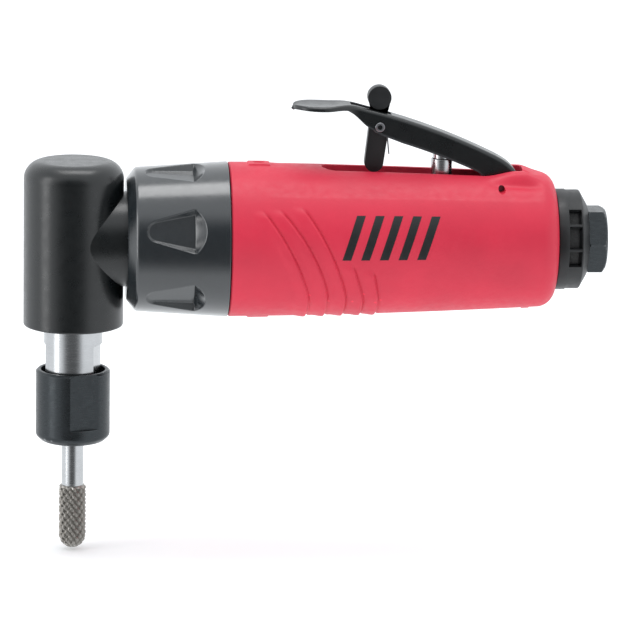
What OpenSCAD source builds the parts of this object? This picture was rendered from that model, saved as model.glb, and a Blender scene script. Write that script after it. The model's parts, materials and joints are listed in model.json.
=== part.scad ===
// Right-angle pneumatic die grinder with a small carbide burr.
// The motor axis runs along X and the mouth of the air inlet is at the origin.
// The head is at the -X end, the spindle and burr point down (-Z) and the throttle lever is on top.

/* [Grip and inlet] */
// Radius of the grip at its front end
grip_front_r = 22.5; // [22.2:0.1:22.8]
// Radius of the grip just ahead of its rounded rear corner
grip_rear_r = 19.8; // [19.5:0.1:20.2]
// Length of the grip between the coupling ring and the exhaust deflector
grip_length = 95.1; // [94.3:0.1:95.9]
// Length of the exhaust deflector ring
deflector_length = 9.3; // [9.1:0.1:9.5]
// Outer radius of the exhaust deflector ring
deflector_r = 14.7; // [14.5:0.1:15]
// Length of the hexagon on the inlet bushing
hex_length = 5.4; // [5.2:0.1:5.7]
// Width across the flats of the inlet bushing's hexagon
hex_flats = 17.9; // [17.5:0.1:18.3]
// Radius of the bore that takes the air fitting
inlet_bore_r = 5.7; // [5.5:0.1:5.8]

/* [Head and coupling] */
// Radius of the vertical head
head_r = 14.5; // [14.4:0.1:15]
// Height of the head's top above the motor axis
head_top_z = 23.1; // [22.8:0.1:24]
// Depth of the head's lower edge below the motor axis
head_bottom_z = -25.3; // [-25.6:0.1:-25.1]
// Radius of the fillet round the head's top
head_fillet_r = 5.3; // [4:0.1:6]
// Radius of the neck that joins the head to the coupling ring
neck_r = 13.8; // [13.4:0.1:13.9]
// Largest radius of the coupling ring, next to the grip
coupling_rear_r = 22.6; // [22.4:0.1:22.9]
// Radius of the coupling ring behind its front bevel
coupling_front_r = 20.9; // [20.6:0.1:21.2]

/* [Spindle and burr] */
// Radius of the spindle's bright collar below the head
spindle_r = 8.5; // [8.3:0.1:8.6]
// Outer radius of the collet nut
nut_r = 10.8; // [10.4:0.1:11]
// Radius of the burr's shank
shank_r = 3.175; // [3:0.005:3.2]
// Radius of the burr's cutting head
burr_r = 3.97; // [3.8:0.01:4.7]
// Length of the burr's cutting head
burr_length = 19.05; // [16:0.05:21]

/* [Throttle] */
// Width of the throttle lever's channel
lever_width = 8.2; // [8:0.1:8.4]
// Thickness of the lever's pressed sheet
lever_sheet = 1.3; // [1.2:0.1:1.4]
// Width of the paddle at the lever's tip
paddle_width = 12; // [10:0.5:14]
// Radius of the lock lever's round knob
knob_r = 3.4; // [3:0.1:3.5]

/* [Hidden] */

$fn = 64;
eps = 0.01;

// Running fit between a shaft and its hole, and the gap left round still parts
fit = 0.05;
gap = 0.1;

// Stations along the motor axis
deflector_rear_x = -hex_length - gap;
grip_rear_x = -hex_length - deflector_length - 0.4;
grip_front_x = grip_rear_x - grip_length;
block_rear_x = grip_rear_x - 2.6;
block_step_x = grip_rear_x - 25.4;
motor_rear_x = grip_rear_x - 42.9;
plate_front_x = grip_front_x + 3.2;
housing_front_x = grip_front_x - 16.3;
coupling_rear_x = grip_front_x - 0.3;
coupling_front_x = grip_front_x - 29.6;
head_x = grip_front_x - 44.7;
spigot_rear_x = grip_front_x + 1.0;

// Motor
cylinder_r = 14.0;
cylinder_bore_r = 11.2;
cylinder_offset = 1.2;
rotor_r = 9.85;
plate_length = 7.0;
rear_plate_x = motor_rear_x - plate_length - gap;
front_plate_x = plate_front_x + plate_length + 0.5;
housing_r = 17.9;
block_r = 15.3;
exhaust_pitch_r = 12.2;
exhaust_hole_r = 1.75;
exhaust_angles = [55, 90, 125, 235, 270, 305];
dowel_z = 12.0;
blade_count = 5;

// Lever slot in the top of the grip and the housing
slot_front_x = grip_rear_x - 68.1;
slot_rear_x = grip_rear_x - 9.8;
slot_width = 9.2;
slot_floor_z = 15.2;

// Lever pivot, lock pin and valve plunger
pivot_x = grip_rear_x - 16.6;
pivot_z = 16.6;
pivot_r = 1.0;
lock_x = grip_rear_x - 51.65;
lock_z = 33.7;
lock_pin_r = 1.35;
valve_x = grip_rear_x - 33.1;
plunger_r = 2.55;
plunger_top_z = 30.0;
tab_thickness = 3.2;

// Lever outline: its top falls away from lever_front_x by a shallow parabola
lever_front_x = grip_rear_x - 57.9;
lever_front_z = 39.5;
lever_tip_x = lever_front_x - 18.7;
lever_depth = 6.6;
lever_end_r = 6.2;
function lever_top(x) =
    lever_front_z - 0.222 * (x - lever_front_x) - 0.0033 * pow(x - lever_front_x, 2);

// Valve stations up the plunger's axis
cap_top_z = -12.2;
seat_bottom_z = 4.2;
seat_top_z = 5.6;
guide_bottom_z = 9.0;
guide_top_z = slot_floor_z;
chamber_r = 4.4;

// Bevel gear pair: both pitch cones meet where the motor axis crosses the spindle axis
pinion_teeth = 13;
gear_teeth = 18;
gear_module = 1.1;
pinion_pitch_r = gear_module * pinion_teeth / 2;
gear_pitch_r = gear_module * gear_teeth / 2;
cone_length = sqrt(pow(pinion_pitch_r, 2) + pow(gear_pitch_r, 2));
tooth_length = 3.8;
toe_scale = (cone_length - tooth_length) / cone_length;

// Spindle stations
bearing_bottom_z = -19.3;
bearing_top_z = -13.3;
upper_bearing_z = 10;
nut_top_z = -38.5;
nut_bottom_z = -59.8;
spindle_flat_angle = -15;
spindle_flat_half = 7.15;
spindle_flat_top_z = -30.6;
burr_top_z = -73.3;

// Angle of the coupling ring's pockets about the motor axis, from straight up towards -Y
pocket_angle = 73;
pocket_count = 6;

// A cylinder along X from x0 to x1
module x_cyl(x0, x1, r) {
    translate([x0, 0, 0]) rotate([0, 90, 0]) cylinder(r = r, h = x1 - x0);
}

// A cone along X from radius r0 at x0 to radius r1 at x1
module x_cone(x0, x1, r0, r1) {
    translate([x0, 0, 0]) rotate([0, 90, 0]) cylinder(r1 = r0, r2 = r1, h = x1 - x0);
}

// A tube along X
module x_tube(x0, x1, outer, inner) {
    difference() {
        x_cyl(x0, x1, outer);
        x_cyl(x0 - 1, x1 + 1, inner);
    }
}

// A cylinder along Z from z0 to z1
module z_cyl(z0, z1, r) {
    translate([0, 0, z0]) cylinder(r = r, h = z1 - z0);
}

// A tube along Z
module z_tube(z0, z1, outer, inner) {
    difference() {
        z_cyl(z0, z1, outer);
        z_cyl(z0 - 1, z1 + 1, inner);
    }
}

// A pin along Y, centred on Y = 0
module y_pin(x, z, r, length) {
    translate([x, 0, z]) rotate([90, 0, 0]) cylinder(r = r, h = length, center = true);
}

// A side outline drawn in X and Z, given a width along Y
module side_extrude(width) {
    rotate([90, 0, 0]) linear_extrude(width, center = true) children();
}

// A ring of round section round the X axis
module x_ring(x, ring_r, wire_r) {
    translate([x, 0, 0]) rotate([0, 90, 0]) rotate_extrude() translate([ring_r, 0]) circle(wire_r, $fn = 24);
}

// A deep-groove ball bearing along Z, drawn as its two rings with the balls between them
module bearing(outer, inner, width) {
    ball_r = (outer - inner) * 0.27;
    pitch_r = (outer + inner) / 2;
    difference() {
        cylinder(r = outer, h = width);
        translate([0, 0, -1]) cylinder(r = inner, h = width + 2);
        for (z = [-eps, width - 0.5]) translate([0, 0, z]) difference() {
            cylinder(r = pitch_r + ball_r * 0.9, h = 0.5 + eps);
            translate([0, 0, -1]) cylinder(r = pitch_r - ball_r * 0.9, h = 3);
        }
    }
}

// A wire of round section through a list of points; up is never along the wire
function unit(v) = v / norm(v);
function tangent(p, i) = unit(p[min(i + 1, len(p) - 1)] - p[max(i - 1, 0)]);
function wire_ring(p, t, up, r, sides) =
    let (a = unit(cross(up, t)), b = cross(t, a))
    [for (k = [0:sides - 1]) p + r * (cos(360 * k / sides) * a + sin(360 * k / sides) * b)];

module wire(points, up, r, sides = 6) {
    n = len(points);
    rings = [for (i = [0:n - 1]) each wire_ring(points[i], tangent(points, i), up, r, sides)];
    walls = [
        for (i = [0:n - 2]) for (k = [0:sides - 1])
            [i * sides + k, i * sides + (k + 1) % sides,
             (i + 1) * sides + (k + 1) % sides, (i + 1) * sides + k]
    ];
    first_cap = [for (k = [sides - 1:-1:0]) k];
    last_cap = [for (k = [0:sides - 1]) (n - 1) * sides + k];
    polyhedron(rings, concat([first_cap, last_cap], walls), convexity = 8);
}

// One gear tooth and its root circle, drawn at the large end of the cone
module tooth_outline(pitch_r, teeth, addendum, dedendum) {
    half_pitch = 0.21 * 360 / teeth;
    half_tip = 0.12 * 360 / teeth;
    half_root = 0.27 * 360 / teeth;
    root_r = pitch_r - dedendum;
    tip_r = pitch_r + addendum;
    circle(root_r, $fn = 36);
    for (i = [0:teeth - 1]) rotate(i * 360 / teeth) polygon([
        [0, 0],
        root_r * [cos(half_root), -sin(half_root)],
        pitch_r * [cos(half_pitch), -sin(half_pitch)],
        tip_r * [cos(half_tip), -sin(half_tip)],
        tip_r * [cos(half_tip), sin(half_tip)],
        pitch_r * [cos(half_pitch), sin(half_pitch)],
        root_r * [cos(half_root), sin(half_root)]
    ]);
}

// The toothed part of a bevel gear, large end at z = 0, narrowing upwards to the cone's tip
module bevel_teeth(pitch_r, mate_r, teeth, addendum, dedendum) {
    linear_extrude(mate_r * (1 - toe_scale), scale = toe_scale)
        tooth_outline(pitch_r, teeth, addendum, dedendum);
}

// ---- Head, coupling and grip ----

module angle_head() color([0.06, 0.07, 0.08]) difference() {
    union() {
        translate([head_x, 0, 0]) rotate_extrude() {
            translate([0, head_bottom_z]) square([head_r, head_top_z - head_fillet_r - head_bottom_z]);
            translate([0, head_bottom_z]) square([head_r - head_fillet_r, head_top_z - head_bottom_z]);
            intersection() {
                translate([head_r - head_fillet_r, head_top_z - head_fillet_r]) circle(head_fillet_r);
                square([head_r, head_top_z]);
            }
        }
        x_cyl(head_x, housing_front_x, neck_r);
        x_cyl(housing_front_x - 3.8, housing_front_x, 17.2);
        x_cyl(housing_front_x - eps, spigot_rear_x, cylinder_r);
    }
    translate([head_x, 0, 0]) {
        z_cyl(head_bottom_z - 1, bearing_bottom_z, 12.45);
        z_cyl(bearing_bottom_z - eps, bearing_top_z, 12.0);
        z_cyl(bearing_top_z - eps, 3, 11.3);
        z_cyl(2.9, upper_bearing_z, 7.4);
        z_cyl(upper_bearing_z - eps, upper_bearing_z + 5.1, 8.0);
        z_cyl(upper_bearing_z + 5, upper_bearing_z + 6.5, 5.5);
    }
    x_cyl(head_x, head_x + 19, 9.0);
    x_cyl(head_x + 18.9, head_x + 24, 9.5);
    x_cyl(head_x + 24.1, head_x + 25.2, 10.0);
    x_cyl(head_x + 23.9, head_x + 27, 9.5);
    x_cyl(head_x + 26.9, spigot_rear_x + 1, 10.5);
}

module pocket_cutter() {
    tip_x = coupling_front_x + 6.3;
    end_x = coupling_front_x + 23.3;
    corner_x = end_x - 4;
    half_width = 6.8;
    arc_r = 7.8;
    floor_slope = 7.5;
    translate([tip_x, 0, coupling_front_r + 0.35]) rotate([0, floor_slope, 0]) translate([-tip_x, 0, 0])
        linear_extrude(8) {
            polygon([[tip_x, 0], [corner_x, half_width], [corner_x, -half_width]]);
            intersection() {
                translate([end_x - arc_r, 0]) circle(arc_r);
                translate([corner_x - eps, -half_width]) square([end_x - corner_x + 1, 2 * half_width]);
            }
        }
}

module coupling_ring() color([0.08, 0.09, 0.1]) difference() {
    bevel_length = 2.6;
    bevel_height = 3.6;
    union() {
        x_cone(coupling_front_x, coupling_front_x + bevel_length, coupling_front_r - bevel_height, coupling_front_r);
        x_cone(coupling_front_x + bevel_length - eps, coupling_rear_x, coupling_front_r, coupling_rear_r);
    }
    x_cyl(coupling_front_x - 1, coupling_front_x + 10, neck_r + gap);
    x_cyl(housing_front_x - 3.9, coupling_rear_x + 1, housing_r + gap);
    for (i = [0:pocket_count - 1]) rotate([pocket_angle + i * 360 / pocket_count, 0, 0]) pocket_cutter();
}

// Outer outline of the grip, drawn with the motor axis as the drawing's Y axis
module grip_outline() {
    corner_r = 5;
    polygon([
        [0, grip_front_x],
        [grip_front_r, grip_front_x],
        [grip_front_r - 0.2, grip_front_x + 18],
        [grip_front_r - 0.6, grip_front_x + 35],
        [grip_front_r - 1.35, grip_front_x + 60],
        [grip_rear_r + 0.4, grip_front_x + 79],
        [grip_rear_r, grip_rear_x - corner_r],
        [grip_rear_r - corner_r, grip_rear_x - corner_r],
        [grip_rear_r - corner_r, grip_rear_x],
        [0, grip_rear_x]
    ]);
    intersection() {
        translate([grip_rear_r - corner_r, grip_rear_x - corner_r]) circle(corner_r);
        translate([0, grip_rear_x - corner_r]) square([grip_rear_r, corner_r]);
    }
}

// The raised hump behind the lever's pivot
module grip_hump() {
    hump_width = 16;
    hump_r = 21.9;
    hump_front_x = grip_rear_x - 20.8;
    hump_top_x = grip_rear_x - 10.8;
    hump_rear_x = grip_rear_x - 4.5;
    intersection() {
        union() {
            x_cone(hump_front_x, hump_top_x, grip_rear_r, hump_r);
            x_cone(hump_top_x - eps, hump_rear_x, hump_r, grip_rear_r);
        }
        translate([hump_front_x, -hump_width / 2, 0]) cube([20, hump_width, 30]);
    }
}

// The recess in the grip's top that the lever drops into
module lever_slot() {
    front_x = slot_front_x + slot_width / 2;
    cut_height = 14;
    translate([front_x, 0, slot_floor_z]) cylinder(r = slot_width / 2, h = cut_height);
    translate([front_x, -slot_width / 2, slot_floor_z]) cube([slot_rear_x - front_x, slot_width, cut_height]);
}

// The deeper pocket that the lever's end turns in
module pivot_pocket() {
    front_x = pivot_x - 7;
    floor_z = pivot_z - 4.3;
    translate([front_x, -slot_width / 2, floor_z]) cube([slot_rear_x - front_x, slot_width, 14]);
}

module grip_housing() color([0.86, 0.1, 0.18]) difference() {
    boss_x = grip_front_x + 5.7;
    boss_size = [6.1, 5.6, 2 * grip_front_r + 0.8];
    union() {
        rotate([0, 90, 0]) rotate_extrude() grip_outline();
        grip_hump();
        intersection() {
            translate([boss_x, -boss_size.y / 2, -boss_size.z / 2]) cube(boss_size);
            x_cyl(boss_x, boss_x + boss_size.x, grip_front_r + 0.35);
        }
    }
    x_cyl(grip_front_x - 1, block_step_x + gap, housing_r + gap);
    x_cyl(block_step_x, block_rear_x + gap, block_r + gap);
    x_cyl(block_rear_x, grip_rear_x + 1, 13.0);
    lever_slot();
    pivot_pocket();
    y_pin(pivot_x, pivot_z, pivot_r + 0.03, 50);
}

module motor_housing() color([0.72, 0.73, 0.75]) difference() {
    union() {
        x_cyl(housing_front_x, block_step_x, housing_r);
        x_cyl(block_step_x - eps, block_rear_x, block_r);
    }
    x_cyl(housing_front_x - 1, motor_rear_x, cylinder_r + fit);
    for (a = [exhaust_angles[2], exhaust_angles[3]]) rotate([-a, 0, 0])
        translate([plate_front_x + plate_length, 0, 0]) rotate([0, 90, 0]) translate([-14.2, 0, 0])
            cylinder(r = 1.8, h = motor_rear_x - plate_front_x - plate_length + eps);
    for (a = exhaust_angles) rotate([a, 0, 0]) translate([motor_rear_x - 1, 0, exhaust_pitch_r])
        rotate([0, 90, 0]) cylinder(r = exhaust_hole_r, h = block_rear_x - motor_rear_x + 2);
    x_cyl(block_rear_x - 10.6, block_rear_x + 1, 7.75);
    x_cyl(valve_x, block_rear_x - 10, 4.0);
    translate([valve_x, 0, 0]) {
        z_cyl(-20, cap_top_z, 5.3);
        z_cyl(cap_top_z - 1, seat_top_z, chamber_r);
        z_cyl(seat_top_z - 1, 20, 3.45);
    }
    for (y = [-1.6, 1.6]) translate([motor_rear_x - 1, y, 7.3]) rotate([0, 90, 0])
        cylinder(r = 1.2, h = valve_x - motor_rear_x + 1);
    translate([plate_front_x, -housing_r, slot_floor_z])
        cube([block_step_x - plate_front_x, 2 * housing_r, housing_r]);
    pivot_pocket();
}

// ---- Inlet and exhaust ----

module exhaust_deflector() color([0.07, 0.07, 0.08]) difference() {
    front_x = deflector_rear_x - deflector_length;
    wall_x = deflector_rear_x - 2.1;
    chamfer_x = 2.6;
    chamfer_r = 4.4;
    window_angle = -12.2;
    window_pitch = 25.5;
    union() {
        x_cyl(front_x, deflector_rear_x - chamfer_x + eps, deflector_r);
        x_cone(deflector_rear_x - chamfer_x, deflector_rear_x, deflector_r, deflector_r - chamfer_r);
    }
    x_cyl(front_x - 1, wall_x, deflector_r - 1.6);
    x_cyl(front_x, deflector_rear_x + 1, 8.17);
    for (side = [-1:1]) rotate([window_angle + side * window_pitch, 0, 0]) {
        width = side == 0 ? 6.4 : 4.6;
        translate([front_x + 2.9, -deflector_r - 2, -width / 2]) cube([3.7, 6, width]);
    }
}

module inlet_bushing() color([0.07, 0.07, 0.08]) difference() {
    corner_r = hex_flats / 2 / cos(30);
    union() {
        intersection() {
            rotate([30, 0, 0]) rotate([0, 90, 0]) translate([0, 0, -hex_length])
                cylinder(r = corner_r, h = hex_length, $fn = 6);
            union() {
                x_cyl(-hex_length, -1.1, corner_r + 1);
                x_cone(-1.1 - eps, 0, corner_r, corner_r - 1.6);
            }
        }
        difference() {
            x_cyl(block_rear_x + 1.1, -hex_length + eps, 8.1);
            x_tube(deflector_rear_x - 1.5, deflector_rear_x - 0.5, 9, 7.3);
        }
        x_cyl(block_rear_x - 10.5, block_rear_x + 1.2, 7.7);
    }
    x_cyl(-12, 1, inlet_bore_r);
    x_cyl(block_rear_x - 12, -11.9, 4.8);
}

module inlet_screen() color([0.75, 0.72, 0.6]) {
    screen_x = block_rear_x - 1.0;
    x_tube(screen_x, screen_x + 1.2, 4.75, 4.0);
    difference() {
        x_cyl(screen_x, screen_x + 0.4, 4.1);
        for (r = [1.5, 3.0]) for (a = [0:360 / (r * 4):359])
            rotate([a, 0, 0]) translate([screen_x - 1, 0, r]) rotate([0, 90, 0])
                cylinder(r = 0.45, h = 3, $fn = 16);
        x_cyl(screen_x - 1, screen_x + 1, 0.45);
    }
}

module inlet_o_ring() color([0.05, 0.05, 0.05]) x_ring(block_rear_x + 0.55, 8.22, 0.45);

module deflector_o_ring() color([0.05, 0.05, 0.05]) x_ring(deflector_rear_x - 1.0, 7.73, 0.39);

module muffler_felt() color([0.45, 0.44, 0.42])
    x_tube(deflector_rear_x - deflector_length + 0.3, deflector_rear_x - 2.4, deflector_r - 2.0, 8.3);

// ---- Throttle lever and its lock ----

// Outer side outline of the lever's channel, lowered by drop and widened at its foot for the inner cut
module lever_side(drop, depth) {
    steps = 12;
    run = pivot_x - lever_front_x;
    top = [for (i = [0:steps]) let (x = lever_front_x - 1 + (run + 1) * i / steps) [x, lever_top(x) - drop]];
    foot_x = lever_front_x + 4.5;
    difference() {
        union() {
            polygon(concat(top, [
                [pivot_x, pivot_z - 3],
                [pivot_x - 3.5, pivot_z - 3],
                [pivot_x - 3.5, pivot_z + 2],
                [pivot_x - 5.8, lever_top(pivot_x - 5.8) - depth],
                [foot_x, lever_top(foot_x) - depth],
                [lever_front_x - 1.2, lever_front_z - min(depth, 2.4)]
            ]));
            translate([pivot_x, pivot_z]) circle(lever_end_r - drop);
            polygon([
                [pivot_x - 1, lever_top(pivot_x - 1) - drop],
                [pivot_x + 1.4, pivot_z + lever_end_r - drop + 0.6],
                [pivot_x + 4.5, pivot_z],
                [pivot_x - 1, pivot_z]
            ]);
        }
        translate([pivot_x - 12, pivot_z - 13]) square([24, 10]);
    }
}

module lever_inside() {
    lever_side(lever_sheet, lever_depth + 8);
    translate([pivot_x - 3.6, pivot_z - 5]) square([lever_end_r + 1.8, 4]);
}

// The flat spoon at the lever's front end, seen from the side
module paddle_side() {
    dish_z = lever_front_z + 0.3;
    polygon([
        [lever_front_x + 1, lever_top(lever_front_x + 1)],
        [lever_front_x - 3, dish_z + 0.15],
        [lever_front_x - 9, dish_z],
        [lever_tip_x, dish_z + 0.6],
        [lever_tip_x, dish_z - 0.7],
        [lever_front_x - 9, dish_z - 1.4],
        [lever_front_x - 3, dish_z - 1.3],
        [lever_front_x + 1, lever_top(lever_front_x + 1) - lever_sheet]
    ]);
}

module paddle_plan() {
    half = paddle_width / 2;
    polygon([
        [lever_front_x + 2, -lever_width / 2],
        [lever_front_x - 2, -lever_width / 2],
        [lever_front_x - 9, -half + 0.4],
        [lever_tip_x + 3, -half],
        [lever_tip_x + 3, half],
        [lever_front_x - 9, half - 0.4],
        [lever_front_x - 2, lever_width / 2],
        [lever_front_x + 2, lever_width / 2]
    ]);
    intersection() {
        translate([lever_tip_x + half + 1.4, 0]) circle(half + 1.4);
        translate([lever_tip_x, -half]) square([3.1, 2 * half]);
    }
}

module throttle_lever() color([0.06, 0.06, 0.07]) difference() {
    union() {
        side_extrude(lever_width) lever_side(0, lever_depth);
        intersection() {
            side_extrude(paddle_width + 1) paddle_side();
            translate([0, 0, 30]) linear_extrude(15) paddle_plan();
        }
    }
    side_extrude(lever_width - 2 * lever_sheet) lever_inside();
    translate([lock_x - 8.4, -2.3, lock_z]) cube([11.9, 4.6, 10]);
    y_pin(pivot_x, pivot_z, pivot_r + fit, 20);
    y_pin(lock_x, lock_z, lock_pin_r + 0.02, 20);
}

module lever_pivot_pin() color([0.15, 0.15, 0.16]) y_pin(pivot_x, pivot_z, pivot_r, 15);

module lock_lever() color([0.06, 0.06, 0.07]) {
    knob_z = lock_z + 8.2;
    foot_length = 10.45;
    foot_r = 2.75;
    lean = 7;
    difference() {
        union() {
            side_extrude(4) translate([lock_x, knob_z]) circle(knob_r);
            side_extrude(tab_thickness) {
                translate([lock_x - 2.95, lock_z - 1]) square([5.9, 8.5]);
                translate([lock_x, lock_z]) circle(3);
                translate([lock_x, lock_z]) rotate(-lean) {
                    translate([-foot_r, -foot_length]) square([2 * foot_r, foot_length]);
                    translate([0, -foot_length]) circle(foot_r);
                }
            }
        }
        y_pin(lock_x, lock_z, lock_pin_r + fit, 10);
    }
}

module lock_pin() color([0.15, 0.15, 0.16]) difference() {
    union() {
        y_pin(lock_x, lock_z, lock_pin_r, lever_width + 0.6);
        for (side = [-1, 1]) translate([0, side * (lever_width / 2 + 0.2), 0]) y_pin(lock_x, lock_z, 1.75, 0.4);
    }
    y_pin(lock_x, lock_z, 0.5, 12);
}

module lock_spring() color([0.6, 0.6, 0.62]) {
    coil_r = 1.95;
    wire_r = 0.2;
    turns = 1.25;
    steps = 28;
    coil = [
        for (i = [0:steps])
            let (a = 360 * turns * (i / steps - 1))
            [lock_x + coil_r * cos(a), -1.88 - 0.62 * i / steps, lock_z + coil_r * sin(a)]
    ];
    arm = [
        for (i = [1:6])
            [lock_x + coil_r + 0.15 * i, -2.5, lock_z - 1.35 * i]
    ];
    wire(concat(coil, arm), [0, 1, 0], wire_r);
}

// ---- Valve ----

module valve_plunger() color([0.62, 0.63, 0.65]) translate([valve_x, 0, 0]) difference() {
    dome = 1.1;
    union() {
        z_cyl(9.8, plunger_top_z - dome, plunger_r);
        translate([0, 0, plunger_top_z - dome - eps]) cylinder(r1 = plunger_r, r2 = 1.5, h = dome + eps);
        z_cyl(1.0, 9.9, 1.6);
        z_cyl(1.0, 2.2, 3.7);
    }
    translate([0, 0, 12.5]) rotate_extrude() translate([2.2, 0]) square([1.0, 1.1], center = true);
}

module plunger_o_ring() color([0.05, 0.05, 0.05])
    translate([valve_x, 0, 12.5]) rotate_extrude() translate([2.16, 0]) circle(0.42, $fn = 24);

module valve_disc() color([0.1, 0.1, 0.1])
    translate([valve_x, 0, 0]) z_tube(2.25, seat_bottom_z - fit, 3.8, 1.65);

module plunger_guide() color([0.82, 0.83, 0.85]) translate([valve_x, 0, 0]) difference() {
    union() {
        z_cyl(guide_bottom_z, guide_top_z + gap, 3.42);
        z_cyl(guide_top_z + 0.02, 19.0, 3.7);
    }
    z_cyl(0, 25, plunger_r + fit);
}

module valve_seat() color([0.78, 0.68, 0.4])
    translate([valve_x, 0, 0]) z_tube(seat_bottom_z, seat_top_z - 0.02, chamber_r - 0.02, 2.9);

module valve_spring() color([0.6, 0.6, 0.62]) {
    turns = 6;
    steps = 96;
    wire_r = 0.35;
    bottom_z = cap_top_z + wire_r + 0.05;
    top_z = 1.0 - wire_r - 0.1;
    wire([
        for (i = [0:steps])
            let (a = 360 * turns * i / steps)
            [valve_x + 3.1 * cos(a), 3.1 * sin(a), bottom_z + (top_z - bottom_z) * i / steps]
    ], [0, 0, 1], wire_r);
}

module valve_cap() color([0.78, 0.68, 0.4]) translate([valve_x, 0, 0]) difference() {
    z_cyl(-16.6, cap_top_z - 0.05, 5.25);
    z_cyl(-17, -14.6, 2.5);
}

// ---- Motor ----

module rear_end_plate() color([0.6, 0.6, 0.62]) difference() {
    x_cyl(rear_plate_x, motor_rear_x - gap, cylinder_r);
    x_cyl(motor_rear_x - 5.2, motor_rear_x + 1, 8.0);
    x_cyl(rear_plate_x - 1, motor_rear_x, 3.0);
    for (a = exhaust_angles) rotate([a, 0, 0]) translate([rear_plate_x - 1, 0, exhaust_pitch_r])
        rotate([0, 90, 0]) cylinder(r = 1.1, h = plate_length + 3);
    translate([rear_plate_x - 1, 0, dowel_z]) rotate([0, 90, 0]) cylinder(r = 0.8, h = 4);
}

module rear_rotor_bearing() color([0.75, 0.76, 0.78])
    translate([motor_rear_x - 5.15, 0, 0]) rotate([0, 90, 0]) bearing(7.98, 2.53, 5);

module motor_cylinder() color([0.55, 0.56, 0.58]) difference() {
    x_cyl(front_plate_x, rear_plate_x - gap, cylinder_r);
    translate([0, 0, -cylinder_offset]) x_cyl(front_plate_x - 1, rear_plate_x + 1, cylinder_bore_r);
    for (x = [0.3, 0.5, 0.7]) for (a = [125, 235]) rotate([a, 0, 0])
        translate([front_plate_x + x * (rear_plate_x - front_plate_x), 0, 5]) cylinder(r = 1.5, h = 12);
    translate([rear_plate_x - 6, 0, dowel_z]) rotate([0, 90, 0]) cylinder(r = 0.8, h = 7);
}

module cylinder_dowel() color([0.7, 0.71, 0.73])
    translate([rear_plate_x - 5.8, 0, dowel_z]) rotate([0, 90, 0]) cylinder(r = 0.75, h = 8.4);

module rotor() color([0.5, 0.5, 0.52]) difference() {
    union() {
        x_cyl(front_plate_x + 0.15, rear_plate_x - 0.25, rotor_r);
        x_cyl(rear_plate_x - 1, motor_rear_x - 0.3, 2.5);
        x_cyl(plate_front_x - 0.2, front_plate_x + 1, 3.0);
        translate([plate_front_x - 8, 0, 0]) rotate([0, 90, 0]) cylinder(r = 2.9, h = 9, $fn = 6);
    }
    for (i = [0:blade_count - 1]) rotate([i * 360 / blade_count, 0, 0])
        translate([front_plate_x - 0.5, -0.8, 4.6]) cube([rear_plate_x - front_plate_x + 1, 1.6, 8]);
}

module rotor_blades() color([0.35, 0.22, 0.12])
    for (i = [0:blade_count - 1]) rotate([i * 360 / blade_count, 0, 0])
        translate([front_plate_x + 0.2, -0.75, 4.8])
            cube([rear_plate_x - front_plate_x - 0.5, 1.5, rotor_r + 0.05 - 4.8]);

module front_end_plate() color([0.6, 0.6, 0.62]) difference() {
    x_cyl(plate_front_x + gap, front_plate_x - gap, cylinder_r);
    x_cyl(plate_front_x - 1, plate_front_x + 6.2, 9.5);
    x_cyl(plate_front_x, front_plate_x + 1, 3.4);
}

module front_rotor_bearing() color([0.75, 0.76, 0.78])
    translate([plate_front_x + 0.15, 0, 0]) rotate([0, 90, 0]) bearing(9.48, 3.03, 6);

module motor_wave_washer() color([0.6, 0.6, 0.62])
    x_tube(spigot_rear_x + 0.1, plate_front_x - gap, cylinder_r - 0.3, 10.8);

// ---- Bevel gears and spindle ----

module bevel_pinion() color([0.6, 0.6, 0.62]) difference() {
    heel_x = head_x + gear_pitch_r;
    union() {
        translate([heel_x, 0, 0]) rotate([0, -90, 0])
            bevel_teeth(pinion_pitch_r, gear_pitch_r, pinion_teeth, 0.85, 1.2);
        x_cyl(heel_x - eps, head_x + 18.9, 5.9);
        x_cyl(head_x + 18, plate_front_x - 1.2, 4.97);
    }
    translate([plate_front_x - 9, 0, 0]) rotate([0, 90, 0]) cylinder(r = 3.0, h = 10, $fn = 6);
}

module pinion_bearing() color([0.75, 0.76, 0.78])
    translate([head_x + 18.95, 0, 0]) rotate([0, 90, 0]) bearing(9.48, 5.0, 5);

module pinion_snap_ring() color([0.3, 0.3, 0.32]) difference() {
    x_tube(head_x + 24.2, head_x + 25.1, 9.95, 8.6);
    translate([head_x + 20, -1.5, 0]) cube([10, 3, 12]);
}

module bevel_gear() color([0.6, 0.6, 0.62]) translate([head_x, 0, 0]) difference() {
    union() {
        translate([0, 0, -pinion_pitch_r])
            bevel_teeth(gear_pitch_r, pinion_pitch_r, gear_teeth, 0.8, 1.45);
        z_cyl(-pinion_pitch_r - 1.5, -pinion_pitch_r + eps, gear_pitch_r - 1.6);
        z_cyl(-pinion_pitch_r - 3.6, -pinion_pitch_r - 1.4, gear_pitch_r + 0.3);
        z_cyl(bearing_top_z + 0.15, -pinion_pitch_r - 3.5, 7.6);
    }
    z_cyl(-20, 0, 5.0);
}

module spindle() color([0.8, 0.8, 0.82]) translate([head_x, 0, 0]) difference() {
    union() {
        z_cyl(-2, upper_bearing_z + 5, 3.97);
        z_cyl(bearing_top_z, -1.99, 4.98);
        z_cyl(bearing_bottom_z - 1.4, bearing_top_z + eps, 5.97);
        z_cyl(nut_top_z - 2.1, bearing_bottom_z - 1.3, spindle_r);
        z_cyl(-53, nut_top_z - 2, 7.5);
    }
    z_cyl(-54, -36, 4.75);
    translate([0, 0, -53.01]) cylinder(r1 = 5.75, r2 = 4.7, h = 10);
    for (side = [0, 180]) rotate(side + spindle_flat_angle) translate([spindle_flat_half, -10, nut_top_z - 2.2])
        cube([5, 20, spindle_flat_top_z - nut_top_z + 2.2]);
}

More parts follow.
